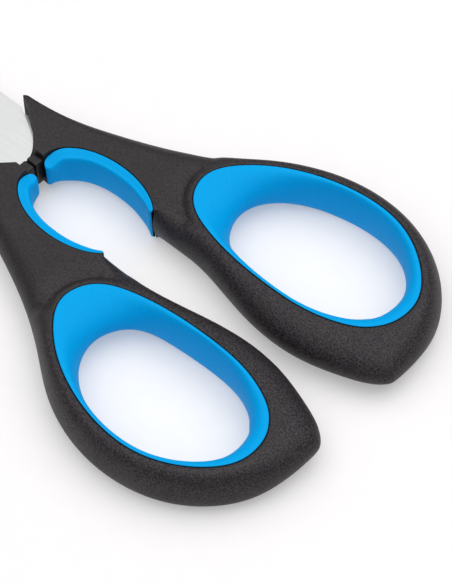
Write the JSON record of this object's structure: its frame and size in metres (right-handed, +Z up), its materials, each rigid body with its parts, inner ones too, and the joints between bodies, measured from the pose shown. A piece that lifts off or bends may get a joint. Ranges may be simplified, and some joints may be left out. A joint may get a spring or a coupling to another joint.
{
  "type": "scissors",
  "caption": "Office scissors: two crossed steel blades on a screw pivot, grained handles, soft lined finger loops and a soft edged middle gap.",
  "frame": {"origin": "on the surface the scissors lie on, under the middle of the closed scissors' length and width", "axes": "+X along the centre line from the blade tips to the finger loops, +Y towards the right half's handle, +Z up, away from the surface they lie on; blades closed"},
  "size_m": [0.2099, 0.0848, 0.0108],
  "materials": {
    "moulding": "fine spark grain, soft sheen",
    "soft_grip": "matt thermoplastic rubber",
    "pad": "smooth, half matt",
    "blade_steel": "fine satin, ground along the blade",
    "pivot_steel": "turned and polished"
  },
  "bodies": {
    "right_half": {"right_handle": "moulding", "right_loop_grip": "soft_grip", "right_gap_grip": "soft_grip", "right_stop_pad": "pad", "bottom_blade": "blade_steel", "pivot_screw": "pivot_steel", "head_washer": "pivot_steel", "nut_washer": "pivot_steel", "pivot_nut": "pivot_steel"},
    "left_half": {"left_handle": "moulding", "left_loop_grip": "soft_grip", "left_gap_grip": "soft_grip", "left_stop_pad": "pad", "top_blade": "blade_steel"}
  },
  "joints": [
    {"name": "pivot", "type": "hinge", "parent": "right_half", "child": "left_half", "pos_m": [-0.0054, 0, 0.0054], "axis": [0, 0, -1], "range_deg": [0, 60]}
  ]
}
